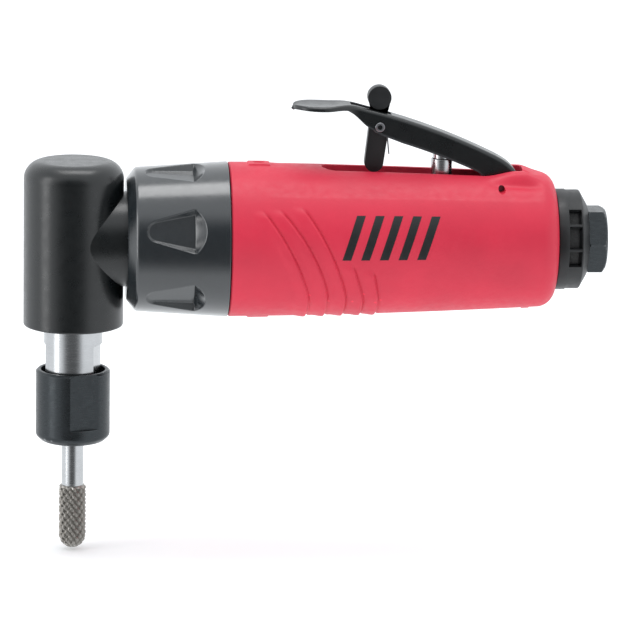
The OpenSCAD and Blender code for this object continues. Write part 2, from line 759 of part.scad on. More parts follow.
module upper_spindle_bearing() color([0.75, 0.76, 0.78])
    translate([head_x, 0, upper_bearing_z]) bearing(7.98, 4.0, 5);

module lower_spindle_bearing() color([0.75, 0.76, 0.78])
    translate([head_x, 0, bearing_bottom_z]) bearing(11.98, 6.0, 6);

module bearing_retainer() color([0.2, 0.2, 0.21]) translate([head_x, 0, 0]) difference() {
    z_cyl(head_bottom_z + 0.2, bearing_bottom_z - 0.05, 12.4);
    z_cyl(head_bottom_z - 1, bearing_bottom_z + 1, spindle_r + 0.35);
    z_cyl(-21.9, -19.85, 10.0);
    for (a = [45, 135]) rotate(a) translate([10.9, 0, head_bottom_z]) cylinder(r = 0.8, h = 2);
    for (a = [225, 315]) rotate(a) translate([10.9, 0, head_bottom_z]) cylinder(r = 0.8, h = 2);
}

module spindle_felt_seal() color([0.75, 0.73, 0.68])
    translate([head_x, 0, 0]) z_tube(-21.8, -19.9, 9.95, spindle_r + 0.06);

module collet() color([0.55, 0.55, 0.57]) translate([head_x, 0, 0]) difference() {
    union() {
        z_cyl(-50, -42, 4.6);
        translate([0, 0, -56]) cylinder(r1 = 5.9, r2 = 4.6, h = 11.5);
        translate([0, 0, -57.7]) cylinder(r1 = 4.4, r2 = 5.9, h = 1.71);
    }
    z_cyl(-60, -40, shank_r + 0.01);
    for (a = [0, 60, 120]) rotate(a) translate([-8, -0.35, -58]) cube([16, 0.7, 11]);
}

module collet_nut() color([0.07, 0.07, 0.08]) translate([head_x, 0, 0]) {
    flat_half = 9.8;
    flat_angle = -71.5;
    flat_bottom_z = nut_bottom_z + 4.9;
    chamfer = 1.7;
    seat_z = -56;
    difference() {
        union() {
            translate([0, 0, nut_top_z - 0.6]) cylinder(r1 = nut_r, r2 = nut_r - 0.6, h = 0.6);
            z_cyl(nut_bottom_z + chamfer, nut_top_z - 0.6 + eps, nut_r);
            translate([0, 0, nut_bottom_z]) cylinder(r1 = nut_r - chamfer, r2 = nut_r, h = chamfer + eps);
        }
        z_cyl(-53.4, -40, 7.56);
        z_cyl(nut_top_z - 2.4, nut_top_z + 1, spindle_r + 0.8);
        translate([0, 0, seat_z - 2.1]) cylinder(r1 = 4.15, r2 = 6.0, h = 2.1);
        z_cyl(seat_z - eps, -53.3, 6.2);
        z_cyl(nut_bottom_z - 1, seat_z, 4.3);
        for (side = [0, 180]) rotate(flat_angle + side)
            translate([flat_half, -12, flat_bottom_z]) cube([5, 24, 30]);
    }
}

module burr_shank() color([0.8, 0.8, 0.82]) translate([head_x, 0, 0]) z_cyl(burr_top_z, -42.5, shank_r);

module burr_head() color([0.42, 0.4, 0.38]) translate([head_x, 0, burr_top_z - burr_length]) rotate_extrude() {
    translate([0, burr_r]) square([burr_r, burr_length - burr_r - 0.4]);
    translate([0, burr_r]) square([burr_r - 0.5, burr_length - burr_r]);
    intersection() {
        translate([0, burr_r]) circle(burr_r);
        square([burr_r, burr_r + eps]);
    }
}

angle_head();
coupling_ring();
grip_housing();
motor_housing();
exhaust_deflector();
inlet_bushing();
inlet_screen();
inlet_o_ring();
deflector_o_ring();
muffler_felt();
throttle_lever();
lever_pivot_pin();
lock_lever();
lock_pin();
lock_spring();
valve_plunger();
plunger_guide();
plunger_o_ring();
valve_disc();
valve_seat();
valve_spring();
valve_cap();
rear_end_plate();
rear_rotor_bearing();
motor_cylinder();
cylinder_dowel();
rotor();
rotor_blades();
front_end_plate();
front_rotor_bearing();
motor_wave_washer();
bevel_pinion();
pinion_bearing();
pinion_snap_ring();
bevel_gear();
spindle();
upper_spindle_bearing();
lower_spindle_bearing();
bearing_retainer();
spindle_felt_seal();
collet();
collet_nut();
burr_shank();
burr_head();
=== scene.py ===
"""A right-angle pneumatic die grinder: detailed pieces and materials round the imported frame.

The motor axis runs along X, the head is at -X, the lever is on +Z and the burr points down.
Sizes are in millimetres, and each mesh is turned into metres as it is made. Angles about the motor
axis start at straight up and turn towards -Y, the side with the exhaust windows.
"""
import json
import math

import bmesh
import bpy
import numpy as np
from mathutils import Matrix, Vector


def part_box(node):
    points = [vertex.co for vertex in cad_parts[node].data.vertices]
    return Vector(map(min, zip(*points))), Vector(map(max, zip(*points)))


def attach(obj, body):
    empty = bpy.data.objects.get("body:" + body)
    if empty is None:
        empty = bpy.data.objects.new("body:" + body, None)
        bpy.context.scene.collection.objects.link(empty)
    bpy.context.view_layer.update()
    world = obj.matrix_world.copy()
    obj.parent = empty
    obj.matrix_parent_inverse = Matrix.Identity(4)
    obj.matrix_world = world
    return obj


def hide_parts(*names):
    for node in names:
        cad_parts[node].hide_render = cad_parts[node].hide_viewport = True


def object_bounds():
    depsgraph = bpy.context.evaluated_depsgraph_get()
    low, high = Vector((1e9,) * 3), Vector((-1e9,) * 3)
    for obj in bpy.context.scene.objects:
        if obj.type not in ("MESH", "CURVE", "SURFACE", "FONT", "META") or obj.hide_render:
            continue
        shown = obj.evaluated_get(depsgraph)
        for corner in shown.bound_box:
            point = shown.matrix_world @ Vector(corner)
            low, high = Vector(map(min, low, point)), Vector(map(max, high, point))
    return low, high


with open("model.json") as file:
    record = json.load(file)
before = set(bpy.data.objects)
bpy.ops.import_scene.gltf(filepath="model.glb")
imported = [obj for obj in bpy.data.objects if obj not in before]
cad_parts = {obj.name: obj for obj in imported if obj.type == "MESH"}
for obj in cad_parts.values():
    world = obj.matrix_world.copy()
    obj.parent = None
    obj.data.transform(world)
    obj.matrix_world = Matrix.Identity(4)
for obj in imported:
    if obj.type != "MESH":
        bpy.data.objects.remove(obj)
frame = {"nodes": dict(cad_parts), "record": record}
cad_low, cad_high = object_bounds()

MM = 0.001


def span(node):
    """A node's lowest and highest corners, in millimetres."""
    low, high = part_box(node)
    return low / MM, high / MM


# ---- Stations taken from the frame ----

GRIP_FRONT_X, GRIP_REAR_X = span("grip_housing")[0].x, span("grip_housing")[1].x
RING_FRONT_X, RING_REAR_X = span("coupling_ring")[0].x, span("coupling_ring")[1].x
RING_REAR_R = span("coupling_ring")[1].y
HEAD_LOW, HEAD_HIGH = span("angle_head")
HEAD_R = 14.48
HEAD_FILLET = 5.3
MOUTH_R = 12.45
MOUTH_DEPTH = 4.9
HEAD_X = sum(span("burr_shank")[i].x for i in (0, 1)) / 2
PIVOT_LOW, PIVOT_HIGH = span("lever_pivot_pin")
PIVOT_X, PIVOT_Z = (PIVOT_LOW.x + PIVOT_HIGH.x) / 2, (PIVOT_LOW.z + PIVOT_HIGH.z) / 2
PIN_LOW, PIN_HIGH = span("lock_pin")
LOCK_X, LOCK_Z = (PIN_LOW.x + PIN_HIGH.x) / 2, (PIN_LOW.z + PIN_HIGH.z) / 2
VALVE_X = sum(span("valve_plunger")[i].x for i in (0, 1)) / 2
LEVER_LOW = span("throttle_lever")[0]
DEFLECTOR_LOW, DEFLECTOR_HIGH = span("exhaust_deflector")
BUSHING_LOW, BUSHING_HIGH = span("inlet_bushing")
NUT_LOW, NUT_HIGH = span("collet_nut")
BURR_LOW, BURR_HIGH = span("burr_head")
SHANK_R = (span("burr_shank")[1].y - span("burr_shank")[0].y) / 2

GRIP_FRONT_R = 22.45
GRIP_TAPER = 2.65
GRIP_CORNER_R = 5.0
SLOT_HALF_WIDTH = 4.6
SLOT_FRONT_X = GRIP_REAR_X - 68.1
SLOT_REAR_X = GRIP_REAR_X - 9.8
SLOT_FLOOR_Z = 12.0
RING_FRONT_R = 20.9
NECK_R = 13.8


# ---- Mesh helpers ----

def smoothstep(low, high, value):
    t = np.clip((value - low) / (high - low), 0, 1)
    return t * t * (3 - 2 * t)


def rounded(corners, steps=6):
    """A line through corners (station, radius, fillet), with each corner rounded by its fillet."""
    points = []
    for i, (s, r, fillet) in enumerate(corners):
        here = np.array([s, r])
        if fillet == 0 or i in (0, len(corners) - 1):
            points.append(here)
            continue
        before = np.array(corners[i - 1][:2]) - here
        after = np.array(corners[i + 1][:2]) - here
        start = here + before / np.linalg.norm(before) * fillet
        end = here + after / np.linalg.norm(after) * fillet
        for t in np.linspace(0, 1, steps + 1):
            points.append((1 - t) ** 2 * start + 2 * t * (1 - t) * here + t * t * end)
    return points


def refined(points, longest):
    """The same line with every stretch longer than longest divided evenly."""
    fine = [points[0]]
    for a, b in zip(points, points[1:]):
        count = max(1, math.ceil(np.linalg.norm(np.array(b) - np.array(a)) / longest))
        fine.extend(np.array(a) + (np.array(b) - np.array(a)) * k / count for k in range(1, count + 1))
    return fine


def raw_object(name, points, faces):
    mesh = bpy.data.meshes.new(name)
    mesh.from_pydata((np.asarray(points) * MM).tolist(), [], faces)
    piece = bpy.data.objects.new(name, mesh)
    bpy.context.scene.collection.objects.link(piece)
    tidy_mesh(piece)
    return piece


def tidy_mesh(piece):
    """Joins points that coincide and turns every face outward."""
    bm = bmesh.new()
    bm.from_mesh(piece.data)
    bmesh.ops.remove_doubles(bm, verts=bm.verts, dist=1e-6)
    bmesh.ops.dissolve_degenerate(bm, edges=bm.edges, dist=1e-7)
    bmesh.ops.recalc_face_normals(bm, faces=bm.faces)
    bm.to_mesh(piece.data)
    bm.free()


def grid_faces(rows, columns, close_rows, close_columns, keep=None):
    faces = []
    for i in range(rows if close_rows else rows - 1):
        for k in range(columns if close_columns else columns - 1):
            if keep is not None and not keep[i, k]:
                continue
            i2, k2 = (i + 1) % rows, (k + 1) % columns
            faces.append((i * columns + k, i * columns + k2, i2 * columns + k2, i2 * columns + k))
    return faces


def revolve(name, outline, shape=None, axis="x", centre=(0.0, 0.0), steps=192, closed=False, keep=None):
    """Turns an outline of (station, radius) points about an axis. shape(station, radius, angle) may
    change each radius, and keep(station, angle) says which faces stay."""
    outline = np.array([p[:2] for p in outline], float)
    angle = np.linspace(0, 2 * math.pi, steps, endpoint=False)[None, :]
    station = np.repeat(outline[:, :1], steps, axis=1)
    radius = np.repeat(outline[:, 1:], steps, axis=1)
    angle = np.repeat(angle, len(outline), axis=0)
    if shape:
        radius = shape(station, radius, angle)
    across, up = radius * np.sin(angle), radius * np.cos(angle)
    if axis == "x":
        points = np.stack([station, centre[0] - across, centre[1] + up], axis=-1)
    elif axis == "y":
        points = np.stack([centre[0] + across, station, centre[1] + up], axis=-1)
    else:
        points = np.stack([centre[0] + up, centre[1] + across, station], axis=-1)
    mask = None
    if keep is not None:
        middle = np.roll(station, -1, axis=0) * 0.5 + station * 0.5
        mask = keep(middle, angle + math.pi / steps)
    faces = grid_faces(len(outline), steps, closed, True, mask)
    return raw_object(name, points.reshape(-1, 3), faces)


def prism(name, outline, low, high, plane="xy"):
    """A closed solid with an outline in one plane, from low to high along the third axis."""
    count = len(outline)
    points = []
    for level in (low, high):
        for a, b in outline:
            points.append((a, b, level) if plane == "xy" else (a, level, b))
    faces = [tuple(range(count)), tuple(range(2 * count - 1, count - 1, -1))]
    faces += [(k, (k + 1) % count, (k + 1) % count + count, k + count) for k in range(count)]
    return raw_object(name, points, faces)


def arc(cx, cy, radius, first, last, steps=16):
    angles = np.radians(np.linspace(first, last, steps + 1))
    return [(cx + radius * math.cos(a), cy + radius * math.sin(a)) for a in angles]


def apply_modifiers(piece):
    graph = bpy.context.evaluated_depsgraph_get()
    mesh = bpy.data.meshes.new_from_object(piece.evaluated_get(graph))
    piece.modifiers.clear()
    piece.data = mesh


def combine(piece, other, operation):
    """Cuts other out of piece, or joins it on, and removes other."""
    modifier = piece.modifiers.new("combine", "BOOLEAN")
    modifier.operation = operation
    modifier.solver = "EXACT"
    modifier.object = other
    apply_modifiers(piece)
    bpy.data.objects.remove(other)


def thicken(piece, thickness):
    """Gives an open skin its sheet thickness, on the inside."""
    modifier = piece.modifiers.new("sheet", "SOLIDIFY")
    modifier.thickness = thickness * MM
    modifier.offset = -1
    modifier.use_even_offset = True
    apply_modifiers(piece)


def soften(piece, width, segments=2, angle=30):
    """Rounds the piece's sharp edges."""
    modifier = piece.modifiers.new("edges", "BEVEL")
    modifier.width = width * MM
    modifier.segments = segments
    modifier.limit_method = "ANGLE"
    modifier.angle_limit = math.radians(angle)
    apply_modifiers(piece)


def dress(piece, slot, body, *nodes, sharp=32):
    """Shades, paints and attaches a finished piece, which stands for the CAD nodes named."""
    bm = bmesh.new()
    bm.from_mesh(piece.data)
    for face in bm.faces:
        face.smooth = True
        face.material_index = 0
    for edge in bm.edges:
        edge.smooth = edge.calc_face_angle(0) < math.radians(sharp)
    bm.to_mesh(piece.data)
    bm.free()
    piece.data.materials.clear()
    piece.data.materials.append(MATERIALS[slot])
    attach(piece, body)
    if nodes:
        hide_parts(*nodes)
    return piece


# ---- Materials ----

class Surface:
    """A procedural material on the Principled shader, in object coordinates scaled to millimetres."""

    def __init__(self, name, metallic=0.0, specular=0.5, coat=0.0, coat_roughness=0.1):
        self.material = bpy.data.materials.new(name)
        self.material.use_nodes = True
        self.tree = self.material.node_tree
        self.shader = self.tree.nodes["Principled BSDF"]
        self.shader.inputs["Metallic"].default_value = metallic
        self.shader.inputs["Specular IOR Level"].default_value = specular
        self.shader.inputs["Coat Weight"].default_value = coat
        self.shader.inputs["Coat Roughness"].default_value = coat_roughness
        self.height = None

    def node(self, kind, **settings):
        node = self.tree.nodes.new(kind)
        for key, value in settings.items():
            setattr(node, key, value)
        return node

    def link(self, output, target):
        self.tree.links.new(output, target)

    def place(self, stretch=(1, 1, 1)):
        coordinates = self.node("ShaderNodeTexCoord")
        mapping = self.node("ShaderNodeMapping")
        mapping.inputs["Scale"].default_value = [s / MM for s in stretch]
        self.link(coordinates.outputs["Object"], mapping.inputs["Vector"])
        return mapping.outputs["Vector"]

    def noise(self, scale, detail=3.0, stretch=(1, 1, 1)):
        """Noise of scale cycles per millimetre, stretched along the axes with small factors."""
        node = self.node("ShaderNodeTexNoise")
        node.inputs["Scale"].default_value = scale
        node.inputs["Detail"].default_value = detail
        self.link(self.place(stretch), node.inputs["Vector"])
        return node.outputs["Fac"]

    def cells(self, scale):
        node = self.node("ShaderNodeTexVoronoi", feature="SMOOTH_F1")
        node.inputs["Scale"].default_value = scale
        self.link(self.place(), node.inputs["Vector"])
        return node.outputs["Distance"]

    def ranged(self, value, low, high, from_low=0.3, from_high=0.7):
        node = self.node("ShaderNodeMapRange")
        node.inputs["From Min"].default_value = from_low
        node.inputs["From Max"].default_value = from_high
        node.inputs["To Min"].default_value = low
        node.inputs["To Max"].default_value = high
        self.link(value, node.inputs["Value"])
        return node.outputs["Result"]

    def mixed(self, factor, first, second):
        node = self.node("ShaderNodeMix", data_type="RGBA")
        for socket, value in ((6, first), (7, second)):
            if isinstance(value, bpy.types.NodeSocket):
                self.link(value, node.inputs[socket])
            else:
                node.inputs[socket].default_value = (*value, 1)
        self.link(factor, node.inputs[0])
        return node.outputs[2]

    def edges(self, low, high):
        """How far a place is on an outward edge, from the mesh's own curvature."""
        geometry = self.node("ShaderNodeNewGeometry")
        return self.ranged(geometry.outputs["Pointiness"], 0.0, 1.0, low, high)

    def colour(self, value):
        self.link(value, self.shader.inputs["Base Color"])

    def roughness(self, value):
        self.link(value, self.shader.inputs["Roughness"])

    def bump(self, value, depth):
        """Adds relief of depth millimetres."""
        node = self.node("ShaderNodeBump")
        node.inputs["Strength"].default_value = 1.0
        node.inputs["Distance"].default_value = depth * MM
        self.link(value, node.inputs["Height"])
        if self.height:
            self.link(self.height, node.inputs["Normal"])
        self.height = node.outputs["Normal"]
        self.link(self.height, self.shader.inputs["Normal"])


def toned(base, factor):
    return tuple(min(1.0, c * factor) for c in base)


def moulded(name, base, rough, pebble_depth, pebble_scale=2.2, specular=0.5, coat=0.0):
    """Moulded plastic or composite: pebble grain, slow colour drift, scuffed edges."""
    surface = Surface(name, specular=specular, coat=coat, coat_roughness=0.2)
    drift = surface.noise(0.06, 4.0)
    body = surface.mixed(surface.ranged(drift, 0, 1), toned(base, 0.93), toned(base, 1.06))
    worn = surface.mixed(surface.edges(0.52, 0.62), body, toned(base, 1.25))
    surface.colour(worn)
    surface.roughness(surface.ranged(surface.noise(0.5, 4.0), rough - 0.06, rough + 0.07))
    surface.bump(surface.cells(pebble_scale), pebble_depth)
    surface.bump(surface.noise(5.0, 2.0), pebble_depth * 0.5)
    return surface.material


def enamelled(name, base, rough, edge_colour):
    """Baked black enamel: fine orange peel, handling haze, rubbed edges."""
    surface = Surface(name, specular=0.5, coat=0.35, coat_roughness=0.25)
    haze = surface.noise(0.09, 5.0)
    body = surface.mixed(surface.ranged(haze, 0, 1), toned(base, 0.85), toned(base, 1.15))
    surface.colour(surface.mixed(surface.edges(0.60, 0.74), body, edge_colour))
    surface.roughness(surface.ranged(surface.noise(0.35, 5.0), rough - 0.05, rough + 0.07))
    surface.bump(surface.noise(1.6, 3.0), 0.002)
    return surface.material


def machined(name, base, rough, grain, depth, tint=0.12, specular=0.5):
    """Ground or turned metal: fine lines along the tool's path, which grain squeezes the noise to."""
    surface = Surface(name, metallic=1.0, specular=specular)
    lines = surface.noise(1.0, 4.0, grain)
    stain = surface.noise(0.15, 4.0)
    body = surface.mixed(surface.ranged(stain, 0, 1), toned(base, 1 - tint), toned(base, 1 + tint * 0.4))
    surface.colour(surface.mixed(surface.ranged(lines, 0, 0.3), body, toned(base, 0.7)))
    surface.roughness(surface.ranged(lines, rough - 0.06, rough + 0.1))
    surface.bump(lines, depth)
    return surface.material


def blackened(name, base, rough):
    """Oil-blackened steel: faint turning lines, brighter rubbed edges."""
    surface = Surface(name, metallic=0.75, specular=0.5)
    lines = surface.noise(1.0, 3.0, (0.5, 0.5, 7.0))
    body = surface.mixed(surface.ranged(lines, 0, 1), toned(base, 0.8), toned(base, 1.2))
    surface.colour(surface.mixed(surface.edges(0.53, 0.64), body, (0.22, 0.23, 0.24)))
    surface.roughness(surface.ranged(surface.noise(0.4, 5.0), rough - 0.05, rough + 0.08))
    surface.bump(lines, 0.003)
    return surface.material


def fibrous(name, base):
    """Pressed felt: matted fibres in all directions."""
    surface = Surface(name, specular=0.1)
    fibres = surface.noise(6.0, 8.0, (1, 0.25, 1))
    surface.colour(surface.mixed(surface.ranged(fibres, 0, 1), toned(base, 0.6), toned(base, 1.5)))
    surface.roughness(surface.ranged(fibres, 0.85, 0.98))
    surface.bump(fibres, 0.12)
    return surface.material


def carbide_surface(name):
    """Ground tungsten carbide: warm grey crystals, with painted highlights on the cutting edges."""
    surface = Surface(name, metallic=1.0, specular=0.5)
    crystals = surface.noise(7.0, 5.0)
    body = surface.mixed(surface.ranged(crystals, 0, 1), (0.13, 0.12, 0.11), (0.30, 0.28, 0.25))
    # Painted highlight: the cutting edges are coloured lighter, standing in for the glints they catch.
    surface.colour(surface.mixed(surface.edges(0.50, 0.60), body, (0.62, 0.59, 0.55)))
    surface.roughness(surface.ranged(crystals, 0.26, 0.46))
    surface.bump(crystals, 0.015)
    return surface.material


MATERIALS = {
    "red_composite": moulded("red_composite", (0.66, 0.027, 0.062), 0.46, 0.018, specular=0.42),
    "black_gloss": moulded("black_gloss", (0.014, 0.018, 0.021), 0.20, 0.0004, 0.8, specular=0.7, coat=1.0),
    "black_plastic": moulded("black_plastic", (0.014, 0.015, 0.016), 0.40, 0.008),
    "black_enamel": enamelled("black_enamel", (0.0045, 0.0062, 0.0068), 0.30, (0.03, 0.035, 0.038)),
    "black_oxide": blackened("black_oxide", (0.044, 0.050, 0.054), 0.27),
    "bright_steel": machined("bright_steel", (0.62, 0.63, 0.64), 0.20, (0.15, 0.15, 9.0), 0.0015),
    "dark_steel": machined("dark_steel", (0.40, 0.40, 0.42), 0.34, (0.6, 0.6, 5.0), 0.003),
    "cast_aluminium": machined("cast_aluminium", (0.66, 0.67, 0.69), 0.40, (5.0, 0.5, 0.5), 0.004),
    "brass": machined("brass", (0.78, 0.60, 0.30), 0.30, (0.5, 0.5, 6.0), 0.003),
    "mesh": machined("mesh", (0.72, 0.62, 0.42), 0.38, (4.0, 4.0, 4.0), 0.006),
    "rubber": moulded("rubber", (0.016, 0.016, 0.016), 0.62, 0.010, 3.0, specular=0.3),
    "felt": fibrous("felt", (0.050, 0.050, 0.050)),
    "phenolic": moulded("phenolic", (0.30, 0.17, 0.085), 0.50, 0.006, 3.0),
    "carbide": carbide_surface("carbide"),
}


# ---- Grip ----

def grip_profile(x):
    """The grip's plain outer radius at a station, with its rounded rear corner."""
    corner_x = GRIP_REAR_X - GRIP_CORNER_R
    t = np.clip((x - GRIP_FRONT_X) / (corner_x - GRIP_FRONT_X), 0, 1)
    side = GRIP_FRONT_R - GRIP_TAPER * t ** 1.7
    past = np.clip(x - corner_x, 0, GRIP_CORNER_R)
    return side - GRIP_CORNER_R + np.sqrt(np.maximum(GRIP_CORNER_R ** 2 - past ** 2, 0))


# Each moulded ridge: its station at the grip's foot, how far forward its head reaches,
# the angle where it starts and the power of its curve
RIDGES = [
    (-88.0, 13.4, 59, 1.65),
    (-82.6, 14.0, 58, 1.85),
    (-77.3, 12.8, 56, 1.65),
    (-72.2, 3.7, 99, 1.30),
    (-67.8, 2.1, 104, 1.20),
]
RIDGE_FOOT_ANGLE = 135
RIDGE_HEIGHT = 0.42
GROOVE_DEPTH = 0.34
GRIP_WIDEST_R = 22.56


def ridge_relief(x, angle, radius):
    """Overlapping scales: each rises slowly towards its line and drops sharply behind it."""
    side = np.degrees(np.abs((angle + math.pi) % (2 * math.pi) - math.pi))
    relief = np.zeros_like(x)
    for foot_x, reach, start, power in RIDGES:
        share = np.clip((RIDGE_FOOT_ANGLE - side) / (RIDGE_FOOT_ANGLE - start), 0, 1.2)
        line_x = foot_x - reach * share ** power
        slope = reach * power * share ** (power - 1) / math.radians(RIDGE_FOOT_ANGLE - start) / radius
        away = (x - line_x) / np.sqrt(1 + slope ** 2)
        rise = smoothstep(-3.4, -0.15, away) * (1 - smoothstep(-0.05, 0.55, away))
        groove = np.exp(-((away - 0.55) / 0.32) ** 2)
        fade = smoothstep(start - 2, start + 5, side)
        relief += fade * (RIDGE_HEIGHT * rise - GROOVE_DEPTH * groove)
    return relief


def box_relief(x, across, x_range, half_width, edge=0.3):
    """One inside a rectangle on the surface, falling to zero over its edge."""
    along = smoothstep(x_range[0] - edge, x_range[0], x) * (1 - smoothstep(x_range[1], x_range[1] + edge, x))
    return along * (1 - smoothstep(half_width, half_width + edge, np.abs(across)))


def grip_shape(x, radius, angle):
    across = radius * np.sin(angle)
    up = np.cos(angle)
    side = np.degrees(np.abs((angle + math.pi) % (2 * math.pi) - math.pi))
    top = up > 0
    body = smoothstep(GRIP_FRONT_X + 10, GRIP_FRONT_X + 15, x)
    body = body * (1 - smoothstep(GRIP_REAR_X - 9, GRIP_REAR_X - 4, x))
    relief = ridge_relief(x, angle, radius)
    relief -= 0.24 * (1 - smoothstep(42, 47, side)) * body
    boss_x = (GRIP_FRONT_X + 5.8, GRIP_FRONT_X + 11.7)
    relief += 0.40 * box_relief(x, across, boss_x, 2.6)
    relief -= 0.40 * box_relief(x, across, (boss_x[0] + 1.6, boss_x[1] - 1.6), 1.2)
    relief += 0.45 * box_relief(x, across, (GRIP_REAR_X - 9.0, GRIP_REAR_X - 6.8), 1.4) * ~top
    hump_front, hump_top, hump_rear = GRIP_REAR_X - 21.5, GRIP_REAR_X - 11.0, GRIP_REAR_X - 3.4
    hump = smoothstep(hump_front, hump_top, x) * (1 - smoothstep(hump_top + 1.0, hump_rear, x))
    relief += 2.0 * hump * (1 - smoothstep(6.6, 9.4, np.abs(across))) * top
    valley = smoothstep(hump_front, hump_front + 4, x) * (1 - smoothstep(hump_rear - 4, hump_rear, x))
    relief -= 0.45 * valley * np.exp(-((np.abs(across) - 9.8) / 1.3) ** 2) * top
    loop = np.hypot((x - GRIP_REAR_X + 7.6) / 3.2, across / 4.4)
    relief -= 0.22 * np.exp(-((loop - 1) / 0.10) ** 2) * top
    beyond = np.maximum(np.maximum(SLOT_FRONT_X + SLOT_HALF_WIDTH - x, x - SLOT_REAR_X), 0)
    lip = np.hypot(np.abs(across), beyond) - SLOT_HALF_WIDTH
    relief -= 0.40 * (1 - smoothstep(-0.2, 0.9, lip)) * top
    outer = radius > 18.5
    corner = radius > GRIP_FRONT_R - GRIP_TAPER - GRIP_CORNER_R + 0.3
    shaped = radius + relief * (outer | (corner & (x > GRIP_REAR_X - GRIP_CORNER_R)))
    return np.minimum(shaped, GRIP_WIDEST_R / np.maximum(np.abs(np.sin(angle)), 0.5))


def make_grip():
    outer_x = np.concatenate([
        np.linspace(GRIP_FRONT_X, GRIP_REAR_X - GRIP_CORNER_R, 300)[:-1],
        GRIP_REAR_X - GRIP_CORNER_R + GRIP_CORNER_R * np.sin(np.radians(np.linspace(0, 90, 14)))])
    outer = [(x, float(grip_profile(x))) for x in outer_x]
    outer[0] = (GRIP_FRONT_X, outer[0][1] - 0.35)
    outer.insert(1, (GRIP_FRONT_X + 0.35, outer[1][1]))
    block_rear, block_step = GRIP_REAR_X - 2.5, GRIP_REAR_X - 25.3
    inner = [(GRIP_REAR_X, 13.0), (block_rear, 13.0), (block_rear, 15.4), (block_step, 15.4),
             (block_step, 18.0), (GRIP_FRONT_X, 18.0)]
    grip = revolve("grip", outer + inner, grip_shape, steps=480, closed=True)
    front = SLOT_FRONT_X + SLOT_HALF_WIDTH
    stadium = arc(front, 0, SLOT_HALF_WIDTH, 90, 270, 24)
    corner_r = 1.2
    stadium += arc(SLOT_REAR_X - corner_r, -SLOT_HALF_WIDTH + corner_r, corner_r, 270, 360, 6)
    stadium += arc(SLOT_REAR_X - corner_r, SLOT_HALF_WIDTH - corner_r, corner_r, 0, 90, 6)
    combine(grip, prism("slot_cutter", stadium, SLOT_FLOOR_Z, 30), "DIFFERENCE")
    hole_r, hole_end = 1.03, 30
    hole = [(-hole_end, 0), (-hole_end, hole_r), (hole_end, hole_r), (hole_end, 0)]
    cutter = revolve("hole_cutter", hole, axis="y", centre=(PIVOT_X, PIVOT_Z), steps=32)
    combine(grip, cutter, "DIFFERENCE")
    dress(grip, "red_composite", "root", "grip_housing", sharp=38)


def make_side_bars():
    """A plain pattern of slanted bars printed on the grip's side."""
    bar_count, pitch, width, slant = 5, 5.4, 2.5, 0.32
    low, high, centre_x = 61.0, 95.0, -64.4
    points, faces = [], []
    rows, columns = 20, 5
    for bar in range(bar_count):
        base = len(points)
        for row in range(rows):
            degrees = low + (high - low) * row / (rows - 1)
            for column in range(columns):
                lean = slant * math.radians((low + high) / 2 - degrees) * GRIP_FRONT_R
                x = centre_x + (bar - (bar_count - 1) / 2) * pitch + lean
                x += width * (column / (columns - 1) - 0.5)
                turn = math.radians(degrees)
                at = np.array([[x]]), np.array([[float(grip_profile(x))]]), np.array([[turn]])
                radius = float(grip_shape(*at)[0, 0]) + 0.07
                points.append((x, -radius * math.sin(turn), radius * math.cos(turn)))
        faces += [tuple(base + k for k in face) for face in grid_faces(rows, columns, False, False)]
    bars = raw_object("side_bars", points, faces)
    thicken(bars, 0.12)
    dress(bars, "black_plastic", "root")


# ---- Coupling ring ----

POCKET_ANGLE = 73
POCKET_COUNT = 6


def ring_shape(x, radius, angle):
    """Six wedge-shaped grip pockets, each with a rounded tip, a sloping floor and a curved rear wall."""
    tip_x, tip_r, corner, length, end_r = RING_FRONT_X + 5.4, 3.2, 13.8, 17.1, 7.86
    half_angle = 0.29
    along = x - tip_x
    cut = np.zeros_like(x)
    for k in range(POCKET_COUNT):
        turn = angle - math.radians(POCKET_ANGLE + 360 * k / POCKET_COUNT)
        turn = (turn + math.pi) % (2 * math.pi) - math.pi
        across = radius * np.sin(turn)
        near = np.cos(turn) > 0.7
        floor = (RING_FRONT_R - 0.45 - along * math.tan(math.radians(6.0))) / np.maximum(np.cos(turn), 0.7)
        flank = (along - tip_r) * math.sin(half_angle) + tip_r - np.abs(across) * math.cos(half_angle)
        tip = tip_r - np.hypot(along - tip_r, across)
        side = np.where(along < tip_r * (1 - math.sin(half_angle)), tip, flank)
        end = length - end_r + np.sqrt(np.maximum(end_r ** 2 - across ** 2, 0))
        wall = np.clip((end - along) / np.maximum(end - corner, 0.3), -1, 1)
        depth = np.minimum((radius - floor) * wall, 2.4 * side)
        cut = np.maximum(cut, np.where(near, depth, 0))
    soft = 0.08
    cut = 0.5 * (cut + np.sqrt(cut ** 2 + soft ** 2)) - soft / 2
    return radius - cut * (radius > 18.3)


def make_coupling_ring():
    corners = [
        (RING_FRONT_X, 14.0, 0), (RING_FRONT_X, 17.5, 0.5), (RING_FRONT_X + 2.6, RING_FRONT_R, 0.7),
        (RING_REAR_X, RING_REAR_R, 0.25), (RING_REAR_X, 18.1, 0)]
    outer = refined(rounded(corners), 0.18)
    inner = [(RING_FRONT_X + 13.3, 18.1), (RING_FRONT_X + 13.3, 14.0)]
    ring = revolve("clamp_ring", outer + inner, ring_shape, steps=720, closed=True)
    dress(ring, "black_gloss", "root", "coupling_ring", sharp=50)


# ---- Head ----

